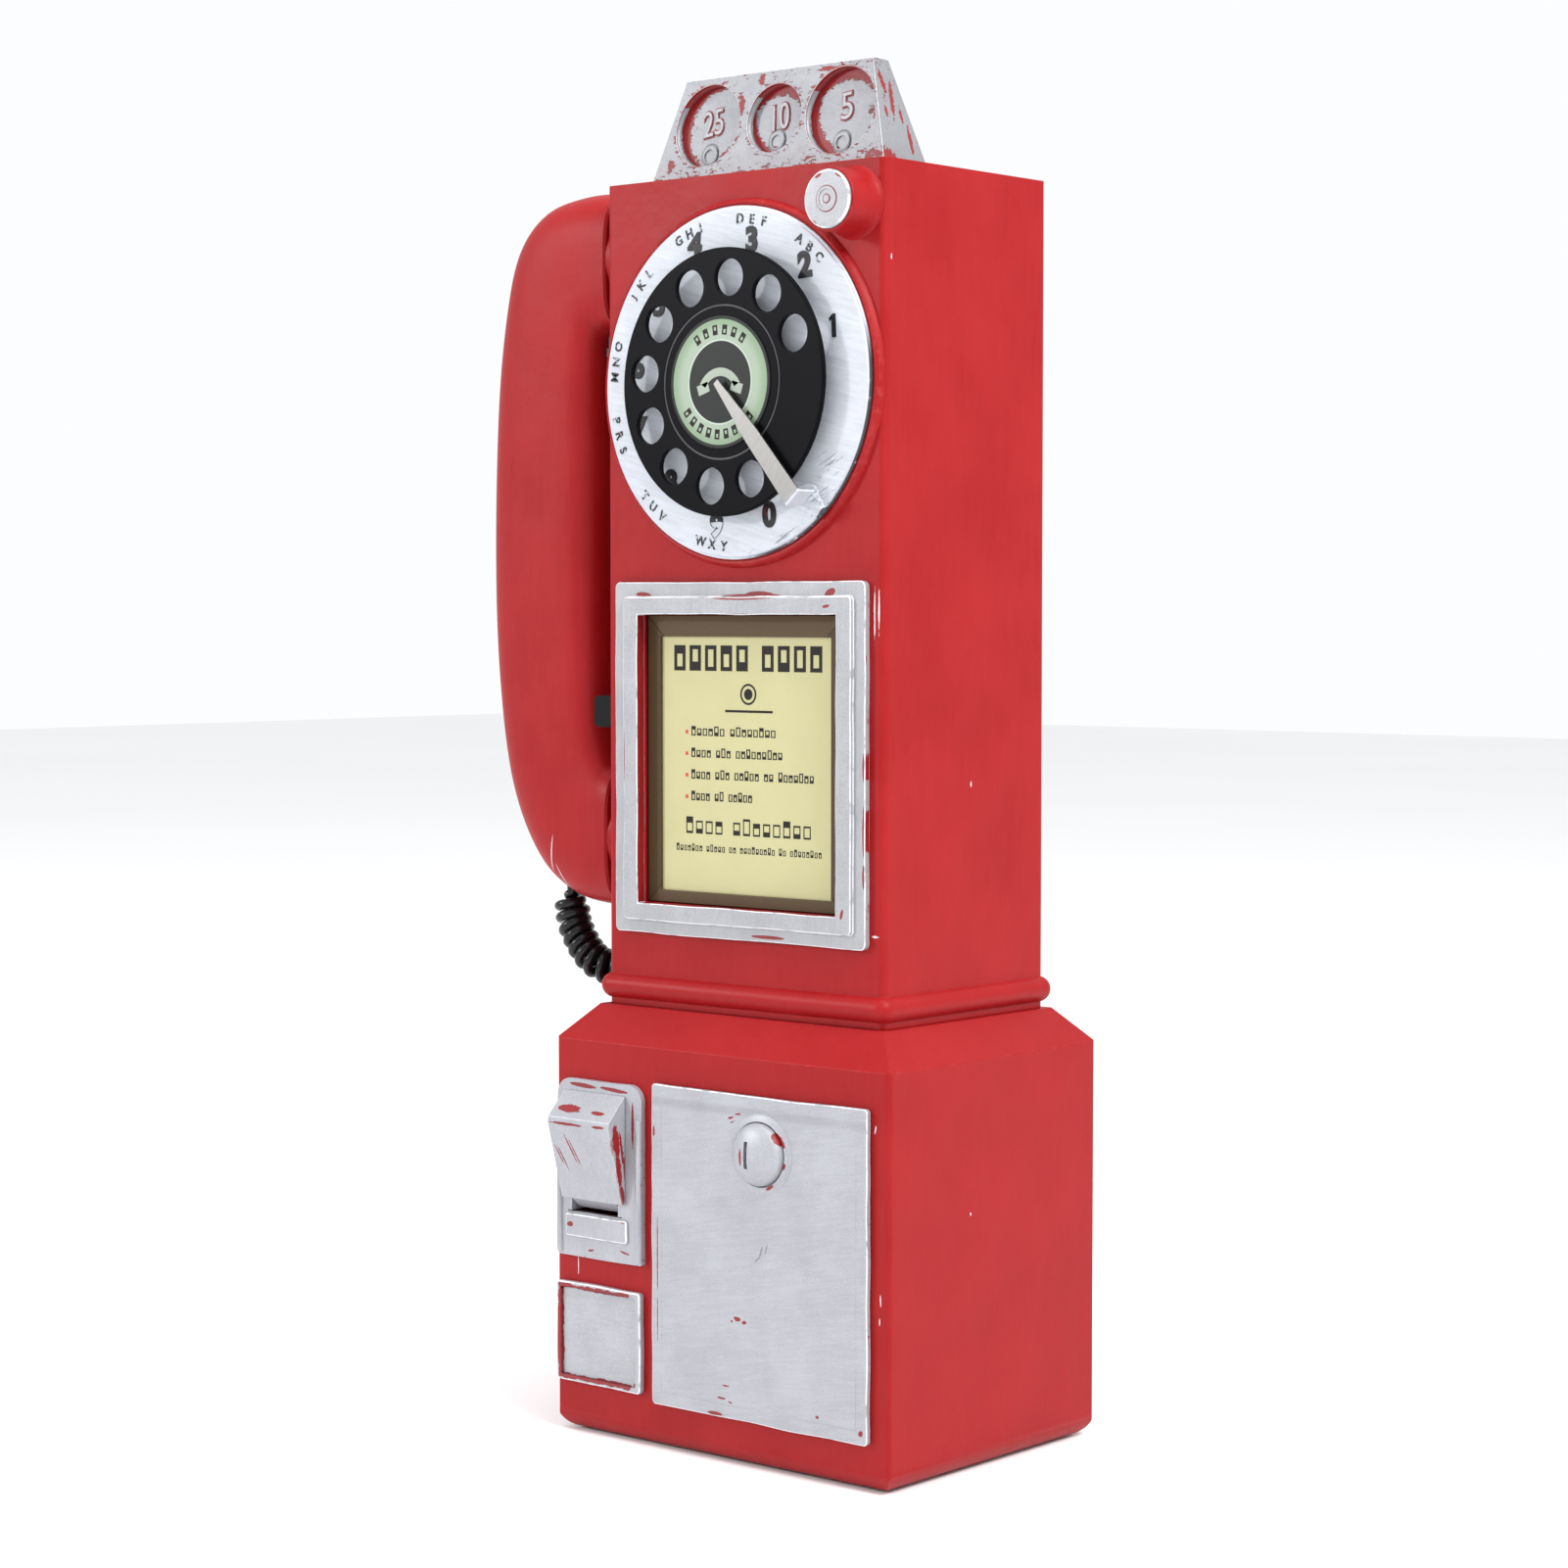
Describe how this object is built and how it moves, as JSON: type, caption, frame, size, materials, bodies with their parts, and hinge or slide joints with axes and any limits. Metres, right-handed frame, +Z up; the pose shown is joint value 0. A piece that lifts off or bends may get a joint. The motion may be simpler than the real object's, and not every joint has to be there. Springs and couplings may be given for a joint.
{
  "type": "wall payphone",
  "caption": "Wall payphone with a rotary dial, coin head, card frame, hanging handset on a curly cord, and a cash vault with a coin return.",
  "frame": {"origin": "middle of the base's underside", "axes": "+Z up, front faces -Y, +X to the right seen from the front"},
  "size_m": [0.206, 0.1246, 0.47],
  "materials": {
    "red_paint": "satin enamel, hand-brushed",
    "silver_paint": "worn silver paint over red",
    "plate_white": "brushed white enamel",
    "wheel_black": "satin",
    "label_green": "printed",
    "card_cream": "printed",
    "bezel_brown": "satin",
    "nickel": "brushed",
    "steel_sheet": "zinc plated",
    "dark_steel": "satin",
    "brass": "machined",
    "coil_wire": "lacquered copper wire",
    "phenolic": "moulded",
    "cord_black": "glossy",
    "rubber_black": "matte"
  },
  "bodies": {
    "cabinet": {"base_housing": "red_paint", "base_pan": "dark_steel", "housing_screws": "nickel", "column_housing": "red_paint", "back_panel": "dark_steel", "wall_bracket": "dark_steel", "coin_head": "silver_paint", "button_collar": "red_paint", "button_spring": "steel_sheet", "dial_collar": "red_paint", "number_plate": "plate_white", "finger_stop": "nickel", "dial_frame": "brass", "governor_cup": "dark_steel", "mainspring": "steel_sheet", "pulse_contacts": "phenolic", "card_frame": "silver_paint", "card_bezel": "bezel_brown", "notice_card": "card_cream", "card_tray": "red_paint", "vault_liner": "steel_sheet", "cash_box": "steel_sheet", "return_escutcheon": "silver_paint", "scoop_pin": "nickel", "return_sill": "silver_paint", "lower_cover": "silver_paint", "coin_chute": "steel_sheet", "coin_trap": "steel_sheet", "coin_relay": "coil_wire", "lower_chutes": "steel_sheet", "coin_gong": "brass", "bell_gongs": "brass", "ringer_coils": "coil_wire", "network_box": "phenolic", "handset_cord": "cord_black", "hook_switch": "phenolic", "cord_grommet": "rubber_black", "handset_bumper": "rubber_black"},
    "button": {"push_button": "silver_paint"},
    "dial": {"finger_wheel": "wheel_black", "dial_card": "label_green", "dial_shaft": "nickel", "main_gear": "brass"},
    "governor": {"governor_pinion": "brass"},
    "door": {"vault_door": "silver_paint", "lock_collar": "silver_paint", "bolt_guides": "dark_steel"},
    "lock": {"lock_cylinder": "silver_paint", "lock_cam": "brass"},
    "left_bolt": {"bolt_left": "steel_sheet"},
    "right_bolt": {"bolt_right": "steel_sheet"},
    "scoop": {"return_scoop": "silver_paint"},
    "vane": {"coin_vane": "brass"},
    "clapper": {"bell_clapper": "steel_sheet"},
    "handset": {"handset_handle": "red_paint", "ear_cap": "red_paint", "mouth_cap": "red_paint", "receiver_capsule": "steel_sheet", "transmitter_capsule": "steel_sheet"},
    "hook": {"hook_lever": "dark_steel"}
  },
  "joints": [
    {"name": "button_press", "type": "slide", "parent": "cabinet", "child": "button", "axis": [0, 1, 0], "range_m": [0, 0.004], "stiffness_N_per_m": 300, "springref_m": -0.003, "deforming": ["button_spring"]},
    {"name": "dial_turn", "type": "hinge", "parent": "cabinet", "child": "dial", "pos_m": [0, 0, 0.3634], "axis": [0, 1, 0], "range_deg": [0, 325], "stiffness_Nm_per_rad": 0.02, "springref_deg": -28.65},
    {"name": "governor_spin", "type": "hinge", "parent": "cabinet", "child": "governor", "pos_m": [-0.03, 0, 0.3634], "axis": [0, 1, 0], "range_deg": [-1300.5, 0.5]},
    {"name": "door_pull", "type": "slide", "parent": "cabinet", "child": "door", "axis": [0, -1, 0], "range_m": [0, 0.06]},
    {"name": "lock_turn", "type": "hinge", "parent": "door", "child": "lock", "pos_m": [0.022, 0, 0.107], "axis": [0, 1, 0], "range_deg": [0, 90]},
    {"name": "left_bolt_throw", "type": "slide", "parent": "door", "child": "left_bolt", "axis": [-1, 0, 0], "range_m": [0, 0.008]},
    {"name": "right_bolt_throw", "type": "slide", "parent": "door", "child": "right_bolt", "axis": [1, 0, 0], "range_m": [0, 0.008]},
    {"name": "scoop_tilt", "type": "hinge", "parent": "cabinet", "child": "scoop", "pos_m": [0, -0.0544, 0.081], "axis": [1, 0, 0], "range_deg": [0, 38], "stiffness_Nm_per_rad": 0.02, "springref_deg": -22.92},
    {"name": "vane_tip", "type": "hinge", "parent": "cabinet", "child": "vane", "pos_m": [0, 0, 0.21], "axis": [0, 1, 0], "range_deg": [-20, 20], "stiffness_Nm_per_rad": 0.004},
    {"name": "clapper_swing", "type": "hinge", "parent": "cabinet", "child": "clapper", "pos_m": [0, 0.0215, 0.372], "axis": [0, 1, 0], "range_deg": [-3.5, 3.5], "stiffness_Nm_per_rad": 0.01},
    {"name": "handset_lift", "type": "slide", "parent": "cabinet", "child": "handset", "axis": [-0.5, 0, 0.866], "range_m": [0, 0.06], "deforming": ["handset_cord"]},
    {"name": "hook_rise", "type": "hinge", "parent": "cabinet", "child": "hook", "pos_m": [-0.05, 0, 0.378], "axis": [0, 1, 0], "range_deg": [0, 12.5]}
  ],
  "couplings": [
    {"joint": "governor_spin", "follows": "dial_turn", "ratio": -4},
    {"joint": "left_bolt_throw", "follows": "lock_turn", "m_per_rad": 0.00509},
    {"joint": "right_bolt_throw", "follows": "lock_turn", "m_per_rad": 0.00509},
    {"joint": "hook_rise", "follows": "handset_lift", "rad_per_m": 3.49}
  ]
}
